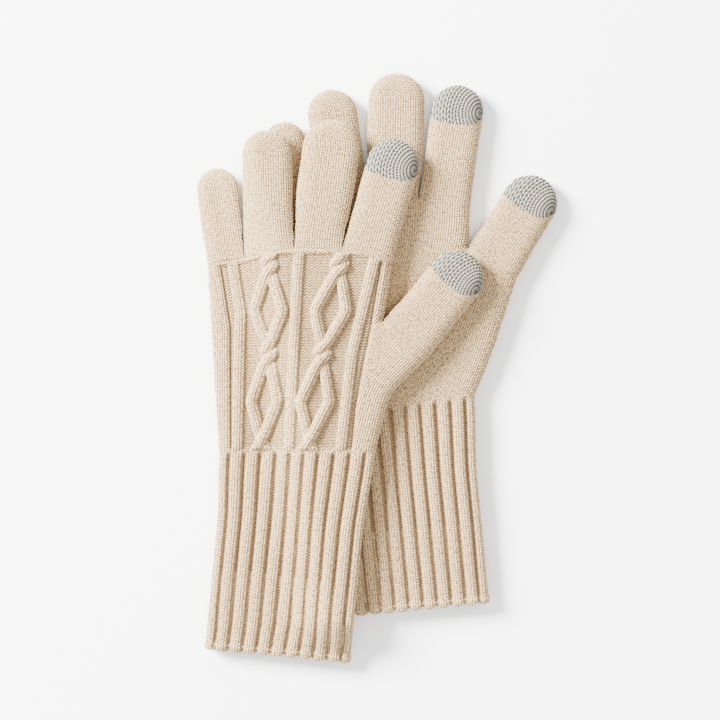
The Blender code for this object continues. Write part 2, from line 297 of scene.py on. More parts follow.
def nearest(points, chain):
    """How far each point is from a chain of close points, and how far along the chain that is."""
    flat = points.reshape(-1, 2)
    distance = np.empty(len(flat))
    place = np.empty(len(flat))
    steps = np.linalg.norm(np.diff(chain, axis=0), axis=1)
    along = np.concatenate([[0.0], np.cumsum(steps)])
    tangent = np.gradient(chain, axis=0)
    tangent /= np.linalg.norm(tangent, axis=1)[:, None]
    for start in range(0, len(flat), 4000):
        block = flat[start:start + 4000]
        gaps = block[:, None] - chain[None]
        square = (gaps ** 2).sum(-1)
        best = square.argmin(1)
        rows = np.arange(len(block))
        gap = gaps[rows, best]
        ahead = np.clip((gap * tangent[best]).sum(-1), -0.3, 0.3)
        distance[start:start + 4000] = np.sqrt(np.maximum(square[rows, best] - ahead ** 2, 0.0))
        place[start:start + 4000] = along[best] + ahead
    return distance.reshape(points.shape[:-1]), place.reshape(points.shape[:-1])


def joint_place(name):
    """Where a joint is, in millimetres."""
    return np.array(JOINTS[name]["pos_m"]) / MM


LEFT = Plan("left", joint_place("left_wrist_bend")[:2], LEFT_LIE)
RIGHT = Plan("right", LEFT.where + RIGHT_FROM_LEFT, RIGHT_LIE)


def lower_edge():
    """The little-finger side of the lower glove, as rows of (y, x) up the table."""
    _, _, widest, length = RIGHT.base("pinky")
    lean = RIGHT.lean("pinky")
    tip = RIGHT.base_middle("pinky") + length * heading(lean)
    side = tip - 0.5 * widest * (across(lean) + heading(lean))
    places = [RIGHT.cuff_corner(-1)] + [RIGHT.place(p) for p in ([-WRIST / 2, 0.0], RIGHT.corners[0], side)]
    return np.array([[place[1], place[0]] for place in places])


LOWER_EDGE = lower_edge()
LOWER_END = min(RIGHT.cuff_corner(-1)[1], RIGHT.cuff_corner(1)[1])


def rest_height(spots, side):
    """The height of a glove's underside at places on the table."""
    if side == "right":
        return np.zeros(spots.shape[:-1])
    edge = np.interp(spots[..., 1], LOWER_EDGE[:, 0], LOWER_EDGE[:, 1]) - DRAPE_MARGIN
    over_side = smooth((spots[..., 0] - edge + DRAPE_RUN) / DRAPE_RUN)
    run = DRAPE_END_SHARE * DRAPE_RUN
    over_end = smooth((spots[..., 1] - LOWER_END + DRAPE_MARGIN + run) / run)
    return (THICK + STACK_GAP) * over_side * over_end


# ---- stitches ----

def knit_face(u, v):
    """Relief of stockinette, 0 to 1: two slanting legs to a wale."""
    off = np.abs(u - np.floor(u) - 0.5)
    leg = np.abs(np.sin(2 * np.pi * off)) ** 0.8
    turn = 0.5 + 0.5 * np.cos(2 * np.pi * (v - 1.5 * off))
    return leg * (0.35 + 0.65 * turn)


def purl_face(u, v):
    """Relief of reverse stockinette, 0 to 1: rows of bumps."""
    return 0.5 + 0.5 * np.cos(2 * np.pi * (v + 0.25 * np.cos(2 * np.pi * u)))


def stitches(u, v, purl):
    """Relief of the knit, -1 to 0."""
    return mix(knit_face(u, v), purl_face(u, v), purl) - 1.0


# ---- meshes ----

def normals_of(grid, closed):
    """Unit normals of a grid of points. A closed grid wraps round its columns."""
    if closed:
        wrapped = np.concatenate([grid[:, -1:], grid, grid[:, :1]], 1)
        along = (wrapped[:, 2:] - wrapped[:, :-2])
    else:
        along = np.gradient(grid, axis=1)
    up = np.gradient(grid, axis=0)
    normal = np.cross(along, up)
    size = np.linalg.norm(normal, axis=-1, keepdims=True)
    return normal / np.maximum(size, 1e-9)


def make_piece(name, grid, uv, purl, painted_shade, material, closed=False, outward=1, tip=None):
    """A mesh from a grid of points in millimetres.

    It carries its stitch map, how much of it is purl and how much painted shade darkens it in grooves,
    crotches and the whorl's middle (both 0 to 1).
    """
    rows, columns = grid.shape[:2]
    index = np.arange(rows * columns).reshape(rows, columns)
    after = np.roll(index, -1, 1) if closed else index[:, 1:]
    here = index if closed else index[:, :-1]
    quads = np.stack([here[:-1], after[:-1], after[1:], here[1:]], -1).reshape(-1, 4)
    uv_after = uv[:, 1:]
    uv_here = uv[:, :-1]
    quad_uv = np.stack([uv_here[:-1], uv_after[:-1], uv_after[1:], uv_here[1:]], 2).reshape(-1, 4, 2)
    points = grid.reshape(-1, 3)
    if outward < 0:
        quads, quad_uv = quads[:, ::-1], quad_uv[:, ::-1]
    corners, starts = quads.reshape(-1), np.arange(len(quads)) * 4
    totals = np.full(len(quads), 4)
    corner_uv = quad_uv.reshape(-1, 2)
    # the second layer is painted shade: how much darker the colour is in grooves, crotches and the whorl's
    # middle
    layers = {"purl": purl.reshape(-1), "painted_shade": painted_shade.reshape(-1)}
    if tip is not None:
        end = len(points)
        points = np.vstack([points, tip])
        last, last_after = index[-1], after[-1]
        fan = np.stack([last, last_after, np.full(len(last), end)], -1)
        fan_uv = np.stack([uv_here[-1], uv_after[-1], 0.5 * (uv_here[-1] + uv_after[-1])], 1)
        if outward < 0:
            fan, fan_uv = fan[:, ::-1], fan_uv[:, ::-1]
        starts = np.concatenate([starts, len(corners) + np.arange(len(fan)) * 3])
        totals = np.concatenate([totals, np.full(len(fan), 3)])
        corners = np.concatenate([corners, fan.reshape(-1)])
        corner_uv = np.concatenate([corner_uv, fan_uv.reshape(-1, 2)])
        layers = {key: np.append(values, values[-1]) for key, values in layers.items()}
    data = bpy.data.meshes.new(name)
    data.vertices.add(len(points))
    data.vertices.foreach_set("co", (points * MM).astype(np.float32).ravel())
    data.loops.add(len(corners))
    data.loops.foreach_set("vertex_index", corners.astype(np.int32))
    data.polygons.add(len(starts))
    data.polygons.foreach_set("loop_start", starts.astype(np.int32))
    data.polygons.foreach_set("loop_total", totals.astype(np.int32))
    data.update(calc_edges=True)
    data.uv_layers.new(name="stitches").uv.foreach_set("vector", corner_uv.astype(np.float32).ravel())
    for key, values in layers.items():
        data.attributes.new(key, "FLOAT", "POINT").data.foreach_set("value", values.astype(np.float32))
    data.shade_smooth()
    data.materials.append(material)
    piece = bpy.data.objects.new(name, data)
    bpy.context.scene.collection.objects.link(piece)
    return piece


def arc_stations(half, spacing):
    """Shares from -1 to 1 across a section that are evenly spread along its curve."""
    share = np.linspace(-1.0, 1.0, 2001)
    rise = THICK / 2 * round_share(half * (1.0 - np.abs(share)), min(REACH, half))
    step = np.hypot(np.diff(share) * half, np.diff(rise))
    along = np.concatenate([[0.0], np.cumsum(step)])
    count = max(8, int(along[-1] / spacing))
    return np.interp(np.linspace(0.0, along[-1], count), along, share)


def wrapped_round(values):
    """A closed grid's columns with the first one again at the end."""
    return np.concatenate([values, values[:, :1]], 1)


def ring_uv(grid, along):
    """Stitch coordinates of a closed grid: arc length from its first column, and distance along."""
    wrapped = wrapped_round(grid)
    step = np.linalg.norm(np.diff(wrapped, axis=1), axis=-1)
    arc = np.concatenate([np.zeros((len(grid), 1)), np.cumsum(step, 1)], 1)
    return np.stack([arc / WALE, np.broadcast_to(along[:, None], arc.shape) / COURSE], -1)


def digit_grid(plan, digit, first, last, scaled):
    """A finger between two distances from its base: points, flat points, shares across and distances.

    scaled(distance, share) bends the straight rows, so that a piece can end on a curve.
    """
    left, right, widest, length = plan.base(digit)
    lean = plan.lean(digit)
    radius = widest / 2
    dome = length - radius
    straight = np.arange(first, min(last, dome), FINE)
    rows = np.append(straight, min(last, dome))
    if last > dome:
        start = math.asin(max(0.0, (first - dome) / radius))
        turn = np.arange(start, math.pi / 2 - 0.03, FINE / radius)[1:]
        rows = np.concatenate([straight if first < dome else rows[:0], dome + radius * np.sin(turn)])
    over = arc_stations(radius, FINE)[::-1]
    under = arc_stations(radius, COARSE)[1:-1]
    share = np.concatenate([over, under])
    is_over = np.concatenate([np.ones(len(over)), -np.ones(len(under))])
    reach = scaled(rows[:, None], share[None])
    part = reach / length
    base_way = (right - left) / np.linalg.norm(right - left)
    way = mix(base_way, across(lean), smooth(part / BASE_TURN_SHARE)[..., None])
    way /= np.linalg.norm(way, axis=-1, keepdims=True)
    base_half = np.linalg.norm(right - left) / 2
    half = mix(base_half + 0.1, radius, smooth(part / BASE_GROWTH_SHARE))
    past = np.clip((reach - dome) / radius, 0.0, 1.0)
    half = half * np.sqrt(1.0 - past ** 2)
    flat = mix(left, right, 0.5) + reach[..., None] * heading(lean) + (share * half)[..., None] * way
    spots = plan.place(flat)
    by_crotch = np.where(share < 0, digit != "pinky", digit not in ("index", "thumb"))
    keep = 1.0 - (1.0 - APEX_KEEP) * np.exp(-reach / CROTCH_RUN) * by_crotch
    reach_in = np.minimum(REACH, np.maximum(half, 0.01))
    short = np.clip(1.0 - half * (1.0 - np.abs(share)) / reach_in, 0.0, 1.0)
    rise = np.sqrt(1.0 - (short * keep) ** 2)
    rise = np.where(np.abs(share) > END_SHARE, 0.0, rise) * np.sqrt(1.0 - past ** 4)
    thick = THICK * (1.0 - TIP_THINNING * smooth(part))
    middle = rest_height(spots, plan.side) + thick / 2
    height = middle + is_over * rise * thick / 2
    return np.concatenate([spots, height[..., None]], -1), flat, share, reach


def tip_point(plan, digit):
    """Where a digit's tip is."""
    _, _, _, length = plan.base(digit)
    spot = plan.place(plan.base_middle(digit) + length * heading(plan.lean(digit)))
    return np.append(spot, rest_height(spot, plan.side) + THICK * (1.0 - TIP_THINNING) / 2)


def tip_edge(digit, length):
    """How far from the base the conductive knitting starts, across a finger."""
    whole, sides, thumb_side = TIP_EDGES[digit]
    return lambda share: (length - whole + sides * share ** 2
                          + thumb_side * np.clip(share - TIP_EDGE_TURN, 0.0, 1.0) ** 2)


def displaced(grid, relief, closed, outward=1.0):
    """A grid moved along its normals."""
    return grid + outward * normals_of(grid, closed) * relief[..., None]


def finger(plan, digit, wool, touch):
    """The visible pieces of one finger or thumb."""
    length = plan.base(digit)[3]
    has_tip = digit in TIP_EDGES
    if has_tip:
        start = length - TIP_LENGTH
        edge = tip_edge(digit, length)
        grid, flat, share, reach = digit_grid(
            plan, digit, 0.0, start, lambda rows, shares: rows * edge(shares) / start)
    else:
        grid, flat, share, reach = digit_grid(
            plan, digit, 0.0, length, lambda rows, shares: rows + 0.0 * shares)
    along = reach[:, len(reach[0]) // 2]
    offset = PALM_LENGTH if digit != "thumb" else nearest(plan.below[None], plan.wale_line())[1][0]
    uv = ring_uv(grid, along + offset)
    relief = STITCH_RELIEF * stitches(uv[:, :-1, 0], uv[:, :-1, 1], 0.0)
    relief += DIGIT_UNEVEN * wavy(flat[..., 0], flat[..., 1], 3.0)
    grid = displaced(grid, relief, True, -1.0)
    purl = np.zeros(grid.shape[:2])
    tip = None if has_tip else tip_point(plan, digit)
    # painted shade on the finger's sides near the crotches
    shade_paint = crotch_shade(share, reach)
    piece = make_piece(f"{plan.side}_{digit}_knit", grid, uv, purl, shade_paint, wool, True, -1, tip)
    finish_digit(piece, plan, digit)
    if has_tip:
        cap(plan, digit, touch)


def crotch_shade(share, reach):
    """How much painted shade darkens a finger's sides between it and its neighbours, near its base."""
    return 0.25 * smooth((np.abs(share) - 0.8) / 0.2) * np.exp(-reach / 25.0)


def finish_digit(piece, plan, digit):
    """Hides the CAD finger that a finger tube stands for, and bakes the tube's placement into its mesh."""
    side = plan.side
    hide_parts(f"{side}_{digit}")
    way = np.append(heading(plan.lean(digit) - plan.lie["turn"]), 0.0)
    crease = np.append(plan.place(plan.base_middle(digit)), 0.0)
    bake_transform(piece)


def cap(plan, digit, touch):
    """The conductive tip: knitted round a whorl on its thumb side."""
    _, _, widest, length = plan.base(digit)
    edge = tip_edge(digit, length)

    def scaled(rows, shares):
        return length - (length - rows) * (length - edge(shares)) / TIP_LENGTH

    grid, flat, _, _ = digit_grid(plan, digit, length - TIP_LENGTH, length, scaled)
    lean = plan.lean(digit)
    whorl = plan.base_middle(digit) + (length - WHORL[0]) * heading(lean)
    whorl = whorl + WHORL[1] * widest / 2 * across(lean)
    wrapped = wrapped_round(flat)
    gap = wrapped - whorl
    rise = wrapped_round(grid)[..., 2]
    drop = rise.max() - rise
    sideways, ahead = gap @ -across(lean), WHORL_SQUASH * (gap @ heading(lean))
    angle = np.arctan2(ahead, sideways)
    distance = np.sqrt(sideways ** 2 + ahead ** 2 + WHORL_DEPTH * drop ** 2)
    distance += TIP_UNEVEN * wavy(wrapped[..., 0] * 2.2, wrapped[..., 1] * 2.2, 4.0)
    uv = np.stack([distance / TIP_WALE + angle / (2 * math.pi), angle * TIP_TURN], -1)
    gathered = smooth(distance[:, :-1] / TIP_GATHER)
    relief = TIP_RELIEF * stitches(uv[:, :-1, 0], uv[:, :-1, 1], 0.0) * gathered
    grid = displaced(grid, relief, True, -1.0)
    purl = np.zeros(grid.shape[:2])
    # painted shade round the whorl's gathered middle
    shade_paint = 0.9 * np.exp(-(distance[:, :-1] / WHORL_SHADE) ** 2)
    name = f"{plan.side}_{digit}_tip_knit"
    piece = make_piece(name, grid, uv, purl, shade_paint, touch, True, -1, tip_point(plan, digit))
    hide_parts(f"{plan.side}_{digit}_tip")
    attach(piece, f"{plan.side}_{digit}")


# ---- the hand ----

SIDE_CROWDING = 0.10      # how much closer together the columns are near the hand's sides


def hand_plan(plan, spacing):
    """Flat points over the hand, in rows from the wrist to the finger bases."""
    corners = plan.corners
    rows = np.linspace(0.0, 1.0, int(PALM_LENGTH / spacing))
    right = plan.right_line()
    up_to = np.argmin(np.linalg.norm(right - plan.below, axis=1))
    chain = np.vstack([right[:up_to], plan.below, plan.crotch, corners[-1]])
    left = plan.left_line()
    front_share = (corners[:, 0] - corners[0, 0]) / (corners[-1, 0] - corners[0, 0])
    widest = plan.below[0] - corners[0, 0]
    count = int(widest / spacing)
    even = np.linspace(0.0, 1.0, count)
    share = even - SIDE_CROWDING * np.sin(2 * np.pi * even)
    height = rows[:, None] * corners[-1, 1]
    low_x = np.interp(rows * corners[0, 1], left[:, 1], left[:, 0])
    high_x = np.interp(height[:, 0], chain[:, 1], chain[:, 0])
    x = mix(low_x[:, None], high_x[:, None], share)
    ahead = np.interp(share, front_share, corners[:, 1]) - corners[-1, 1]
    reach = smooth((height - plan.crotch[1]) / (corners[-1, 1] - plan.crotch[1]))
    y = height + ahead * reach
    return np.stack([x, y], -1)


def hand_shape(plan, flat, over):
    """The hand's surface at flat points."""
    from_left, _ = nearest(flat, plan.left_line())
    from_right, _ = nearest(flat, plan.right_line())
    rise = np.minimum(round_share(from_left, REACH), round_share(from_right, REACH))
    apexes = [plan.crotch] + list(plan.corners[1:-1])
    for apex in apexes:
        gap = np.linalg.norm(flat - apex, axis=-1)
        pinch = np.clip(1.0 - gap / APEX_REACH, 0.0, 1.0) * APEX_KEEP
        rise = np.minimum(rise, np.sqrt(1.0 - pinch ** 2))
    gap, _ = nearest(flat, chained(plan.crotch, plan.corners[-1]))
    rise = np.minimum(rise, round_share(gap, REACH))
    spots = plan.place(flat)
    middle = rest_height(spots, plan.side) + THICK / 2
    sign = 1.0 if over else -1.0
    height = middle + sign * rise * THICK / 2
    return np.concatenate([spots, height[..., None]], -1)


def line_at(points, y):
    """x of a line through (x, y) points, at heights y."""
    points = np.array(sorted(points, key=lambda point: point[1]), float)
    return np.interp(y, points[:, 1], points[:, 0])


#  the back panel's lines, from the wrist (0) to the knuckles, as (x, y)
PANEL_TOP = ((-46.0, 95.2), (-27.6, 98.0), (-9.4, 102.0), (21.8, 102.4), (38.5, 100.3), (46.0, 97.5))
LEFT_GROOVE = ((-34.8, 0.0), (-34.8, 64.0), (-38.0, 84.0), (-40.0, 96.0))
RIB_A = ((-31.2, 0.0), (-29.9, 55.0), (-29.4, 71.0), (-32.2, 88.0), (-33.6, 98.0))
CENTRE_RIB = ((-4.7, 0.0), (-2.2, 45.8), (-0.5, 76.4), (1.2, 103.0))
RIGHT_RIB = ((22.4, 0.0), (28.2, 49.4), (35.4, 80.0), (40.4, 101.0))
RIGHT_GROOVE = ((28.2, 0.0), (30.2, 22.0), (34.4, 46.0), (38.8, 66.0), (43.0, 92.0), (44.5, 101.0))
CABLE_1 = ((-18.7, 2.0), (-15.1, 51.0), (-14.6, 97.0), (-14.2, 103.0))
CABLE_2 = ((5.7, 2.0), (13.0, 50.4), (22.4, 97.8), (23.0, 103.0))
#  a strand's way up, as (height, share of the spread from the cable's middle): diamonds and twists
STRAND_WAY = (
    (-6.0, -0.6), (0.5, -0.36), (5.0, 0.0),
    (21.7, 0.86), (25.2, 1.04), (28.7, 0.92), (43.6, 0.28),
    (47.0, 0.0), (50.4, -0.4), (53.8, 0.0),
    (57.0, 0.28), (68.8, 0.96), (72.3, 1.12), (75.8, 0.97), (89.4, 0.28),
    (92.7, 0.0), (96.0, -0.4), (99.3, 0.0), (106.0, 0.5),
)
CABLE_SPREAD = (6.6, 7.1)
STRAND_HALF = 3.1
STRAND_LIFT = 3.1
OVER_RISE = 0.5           # how much higher the strand in front goes at a crossing
UNDER_DROP = 2.0          # how much lower the strand behind goes there
CROSSING_SHARE = 0.3      # how near the cable's middle that is
RIB_HALF = 2.9
RIB_RISE = 1.9
GROUND_DROP = 0.85        # how much lower the purl ground is than the plain knitting
GROOVE_DEPTH = 0.9
PANEL_WALES = 34.0        # across the panel
HOLLOW_FROM = 0.4         # this deep, and over the next so many, painted shade makes the colour deeper
HOLLOW_RUN = 1.4
PANEL_UNEVEN = 0.2        # how uneven its courses are
PANEL_FADE = 2.2          # how fast the panel's relief starts at the wrist and ends at the knuckles


def bump_over(distance, half, height):
    """A rounded ridge."""
    inside = np.clip(1.0 - (distance / half) ** 2, 0.0, 1.0)
    return height * np.sqrt(inside)


def cable_panel(plan, flat, from_right, along):
    """Relief, purl share and stitch map of the cabled back."""
    x, y = flat[..., 0], flat[..., 1]
    top = np.interp(x, *zip(*PANEL_TOP))
    left_groove, right_groove = line_at(LEFT_GROOVE, y), line_at(RIGHT_GROOVE, y)
    inside = (x > left_groove) & (x < right_groove) & (y < top)
    relief = np.where(inside, -GROUND_DROP, 0.0)
    purl = inside.astype(float)
    tongue = (x >= right_groove) & (y > plan.crotch[1] - 0.7 * (x - plan.crotch[0]))
    wedge = (x >= right_groove) & ~tongue
    u = np.where(wedge, from_right / WALE, PANEL_WALES * (x - left_groove) / (right_groove - left_groove))
    u = np.where(tongue, (x - right_groove) / WALE, u)
    v = np.where(wedge, along / COURSE, y / COURSE)
    u = np.where(x <= left_groove, (x - left_groove) / WALE, u)
    for line in (RIB_A, CENTRE_RIB, RIGHT_RIB):
        off = x - line_at(line, y)
        on = (np.abs(off) < RIB_HALF) & inside
        relief = np.where(on, -GROUND_DROP + bump_over(np.abs(off), RIB_HALF * 1.04, RIB_RISE), relief)
        purl = np.where(on, 0.0, purl)
        u = np.where(on, off / RIB_HALF + 40.0, u)
    for line, swing in zip((CABLE_1, CABLE_2), CABLE_SPREAD):
        relief, purl, u, v = add_cable(x, y, line, swing, inside, relief, purl, u, v)
    for groove in (left_groove, right_groove):
        relief -= np.where(y < top, GROOVE_DEPTH * np.exp(-(x - groove) ** 2), 0.0)
    relief *= smooth((y + 0.4) / PANEL_FADE)
    ridge = y - top
    relief *= np.where(inside, smooth(-ridge / PANEL_FADE + 0.15), 1.0)
    band = (x > left_groove - 3.0) & (x < right_groove + 2.0)
    seam = 0.55 * np.exp(-(ridge / 0.9) ** 2) - 0.35 * np.exp(-(ridge - 2.0) ** 2)
    relief += np.where(band, seam, 0.0)
    return relief, purl, u, v + PANEL_UNEVEN * wavy(3.0 * x, 3.0 * y, 6.0)


def add_cable(x, y, line, swing, inside, relief, purl, u, v):
    """Two strands that part round diamonds and twist round each other between them."""
    way = rounded(STRAND_WAY, 2)
    heights = np.arange(way[0, 0], way[-1, 0], 0.3)
    share = np.interp(heights, way[:, 0], way[:, 1])
    middle = line_at(line, heights)
    for sign in (-1.0, 1.0):
        strand = np.stack([middle + sign * swing * share, heights], -1)
        off, along = nearest(np.stack([x, y], -1), strand)
        off = off * np.sign(x - np.interp(y, strand[:, 1], strand[:, 0]))
        place = np.interp(y, heights, share)
        near = np.exp(-(place / CROSSING_SHARE) ** 2)
        in_front = np.interp(y, heights, np.gradient(share)) * sign > 0
        lift = STRAND_LIFT + np.where(in_front, OVER_RISE, -UNDER_DROP) * near
        ridge = -GROUND_DROP + bump_over(np.abs(off), STRAND_HALF, lift)
        on = (np.abs(off) < STRAND_HALF) & inside & (ridge > relief)
        relief = np.where(on, ridge, relief)
        purl = np.where(on, 0.0, purl)
        u = np.where(on, off / STRAND_HALF + 50.0, u)
        v = np.where(on, along / COURSE, v)
    return relief, purl, u, v


def hand(plan, wool):
    """The two panels of one hand."""
    side = plan.side
    back_up = side == "left"
    for over in (True, False):
        node = "hand_back" if over == back_up else "hand_palm"
        flat = hand_plan(plan, FINE if over else COARSE)
        grid = hand_shape(plan, flat, over)
        if node == "hand_back" and over:
            relief, purl, u, v = cable_panel(plan, flat, *nearest(flat, plan.wale_line()))
        else:
            side_line = plan.wale_line()
            u = (flat[..., 0] - np.interp(flat[..., 1], side_line[:, 1], side_line[:, 0])) / WALE
            v = flat[..., 1] / COURSE
            relief, purl = np.zeros(u.shape), np.zeros(u.shape)
        # painted shade in the purl ground, the grooves and beside the ribs and cables: deeper relief,
        # darker colour
        painted_shade = np.clip((-relief - HOLLOW_FROM) / HOLLOW_RUN, 0.0, 1.0)
        relief = relief + STITCH_RELIEF * stitches(u, v, purl)
        relief += HAND_UNEVEN * wavy(flat[..., 0], flat[..., 1], 1.0 if over else 2.0)
        if not over:
            relief = np.minimum(relief, 0.0)
        way = 1 if over else -1
        grid = displaced(grid, relief, False, way)
        uv = np.stack([u, v], -1)
        piece = make_piece(f"{side}_{node}_knit", grid, uv, purl, painted_shade, wool, False, way)
        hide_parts(f"{side}_{node}")
        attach(piece, f"{side}_hand")


# ---- the cuff ----

def cuff_ring_grid(plan, share, stations, over, inset=0.0):
    """Rings round the cuff at shares of its length, set in from its outside by inset."""
    centre, lean = plan.cuff_centre(share)
    width = mix(WRIST, CUFF_WIDTH, smooth(share / CUFF_TAPER_SHARE))
    half = (width / 2 - inset)[..., None]
    flat = centre[:, None] + (stations * half)[..., None] * across(lean)[:, None]
    spots = plan.place(flat)
    inward = half * (1.0 - np.abs(stations))
    rise = np.where(np.abs(stations) > END_SHARE, 0.0, round_share(inward, REACH))
    begin, run, amount = CUFF_SQUEEZE
    thick = THICK * (1.0 - amount * smooth((share - begin) / run)[:, None])
    middle = rest_height(spots, plan.side) + thick / 2
    height = middle + over * rise * (thick / 2 - inset)
    return np.concatenate([spots, height[..., None]], -1)


def rib_profile(rib):
    """1 on a ridge and 0 in a groove, by rib number."""
    off = np.abs(rib - np.floor(rib) - 0.5) / 0.5
    return np.sqrt(np.clip(1.0 - np.clip((off - 0.12) / 0.72, 0.0, 1.0) ** 2, 0.0, 1.0))


def rib_wales(rib):
    """Wales counted along the ribbing: two knit ones on a ridge and one purl one in a groove."""
    whole = np.floor(rib)
    part = rib - whole
    inside = np.interp(part, (0.0, 0.13, 0.87, 1.0), (0.0, 0.5, 2.5, 3.0))
    return 3.0 * whole + inside + 0.5


def rib_purl(rib):
    """1 in a groove, where the wale is purl."""
    off = np.abs(rib - np.floor(rib) - 0.5) / 0.5
    return smooth((off - 0.74) / 0.1)


def rib_map(grid, along):
    """Stitch coordinates round a cuff's grid, and the rib number at each point."""
    arc = ring_uv(grid, along)[..., 0]
    rib = RIBS * arc / arc[:, -1:]
    uv = np.stack([rib_wales(rib), np.broadcast_to(-along[:, None] / COURSE, rib.shape)], -1)
    return uv, rib[:, :-1]


def cuff_pieces(plan, wool):
    """The ribbed tube and its welt."""
    side = plan.side
    over_stations = arc_stations(CUFF_WIDTH / 2, FINE * 1.05)[::-1]
    under_stations = arc_stations(CUFF_WIDTH / 2, COARSE * 0.8)[1:-1]
    stations = np.concatenate([over_stations, under_stations])
    over = np.concatenate([np.ones(len(over_stations)), -np.ones(len(under_stations))])
    edge_share = 1.0 - EDGE_LENGTH / CUFF_LENGTH
    share = np.linspace(0.0, edge_share, int(CUFF_LENGTH * edge_share / CUFF_ROW))
    grid = cuff_ring_grid(plan, share, stations, over)
    uv, rib = rib_map(grid, share * CUFF_LENGTH)
    purl = rib_purl(rib)
    deep = smooth(share / 0.03)[:, None]
    relief = RIB_DEPTH * (rib_profile(rib) - 1.0) * deep + RIB_PROUD * deep
    relief += RIB_STITCH_RELIEF * stitches(uv[:, :-1, 0], uv[:, :-1, 1], purl)
    relief = np.where(over[None] < 0, np.minimum(relief, 0.0), relief)
    ripple = CUFF_UNEVEN * wavy(share[:, None] * CUFF_LENGTH, rib * 1.5, 5.0)
    grid = displaced(grid, relief, True)
    grid[..., 2] += np.where(over[None] > 0, 0.35 * ripple, 0.0)
    # painted shade in the rib grooves
    painted_shade = (1.0 - rib_profile(rib)) * deep
    piece = make_piece(f"{side}_cuff_knit", grid, uv, purl, painted_shade, wool, True, 1)
    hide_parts(f"{side}_cuff")
    if side == "left":
        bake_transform(piece)
    else:
        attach(piece, "right_hand")
    cuff_edge(plan, wool, edge_share, stations, over)


def cuff_edge(plan, wool, edge_share, stations, over):
    """The cast-on welt: down the outside, round the lip and back up inside."""
    side = plan.side
    turn = np.linspace(0.0, np.pi, 9)
    outer = np.linspace(edge_share, 1.0, 10)[:-1]
    lip = 1.0 + np.sin(turn) * 0.5 * CUFF_WALL / CUFF_LENGTH
    inner = np.linspace(1.0, 0.62, 26)[1:]
    share = np.concatenate([outer, lip, inner])
    round_lip = CUFF_WALL / 2 * (1.0 - np.cos(turn))
    inset = np.concatenate([np.zeros(len(outer)), round_lip, np.full(len(inner), CUFF_WALL)])
    rings = [cuff_ring_grid(plan, np.array([s]), stations, over, i) for s, i in zip(share, inset)]
    grid = np.concatenate(rings)
    steps = np.linalg.norm(np.diff(grid[:, len(over) // 4], axis=0), axis=-1)
    along = np.concatenate([[0.0], np.cumsum(steps)])
    uv, rib = rib_map(grid, along + edge_share * CUFF_LENGTH)
    purl = rib_purl(rib)
    outside = np.concatenate([np.ones(len(outer)), 0.5 + 0.5 * np.cos(turn), np.zeros(len(inner))])[:, None]
    firm = smooth((share - edge_share) * CUFF_LENGTH / EDGE_LENGTH)[:, None]
    relief = outside * (RIB_DEPTH * mix(1.0, 0.55, firm) * (rib_profile(rib) - 1.0) + RIB_PROUD)
    relief += 0.5 * np.exp(-(((share - 0.99) * CUFF_LENGTH) / 0.7) ** 2)[:, None] * outside
    relief += RIB_STITCH_RELIEF * stitches(uv[:, :-1, 0], uv[:, :-1, 1], purl)
    relief = np.where(over[None] < 0, np.minimum(relief, 0.0), relief)
    grid = displaced(grid, relief, True)
    scallop = firm * rib_profile(rib) * SCALLOP
    down = -heading(plan.lie["cuff_lean"] - plan.lie["turn"])
    grid[..., :2] += scallop[..., None] * down * np.clip(outside + 0.5, 0.0, 1.0)[..., None]
    # painted shade in the rib grooves, weaker towards the cast-on edge and faint inside
    painted_shade = (1.0 - rib_profile(rib)) * mix(0.25, mix(1.0, 0.5, firm), outside)
    piece = make_piece(f"{side}_cuff_edge_knit", grid, uv, purl, painted_shade, wool, True, 1)
    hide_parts(f"{side}_cuff_edge")
    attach(piece, "left_cuff" if side == "left" else "right_hand")


# ---- materials ----

class Nodes:
    """Short ways to add nodes to one material."""

    def __init__(self, name):
        self.material = bpy.data.materials.new(name)
        self.material.use_nodes = True
        self.tree = self.material.node_tree
        self.shader = self.tree.nodes["Principled BSDF"]

    def add(self, kind, **settings):
        node = self.tree.nodes.new(kind)
        for key, value in settings.items():
            setattr(node, key, value)
        return node

    def put(self, socket, value):
        if hasattr(value, "is_output"):
            self.tree.links.new(value, socket)
        else:
            socket.default_value = value

    def math(self, operation, first, second=0.0, third=None):
        node = self.add("ShaderNodeMath", operation=operation)
        self.put(node.inputs[0], first)
        self.put(node.inputs[1], second)
        if third is not None:
            self.put(node.inputs[2], third)
        return node.outputs[0]

    def blend(self, share, first, second):
        """A mix of two numbers."""
        node = self.add("ShaderNodeMix", data_type="FLOAT")
        for place, value in zip((0, 2, 3), (share, first, second)):
            self.put(node.inputs[place], value)
        return node.outputs[0]

    def tint(self, share, first, second):
        node = self.add("ShaderNodeMix", data_type="RGBA")
        for place, value in zip((0, 6, 7), (share, first, second)):
            self.put(node.inputs[place], (*value, 1.0) if isinstance(value, tuple) else value)
        return node.outputs[2]

    def noise(self, vector, scale, detail, rough=0.6):
        node = self.add("ShaderNodeTexNoise")
        self.put(node.inputs["Vector"], vector)
        node.inputs["Scale"].default_value = scale
        node.inputs["Detail"].default_value = detail
        node.inputs["Roughness"].default_value = rough
        return node.outputs[0]


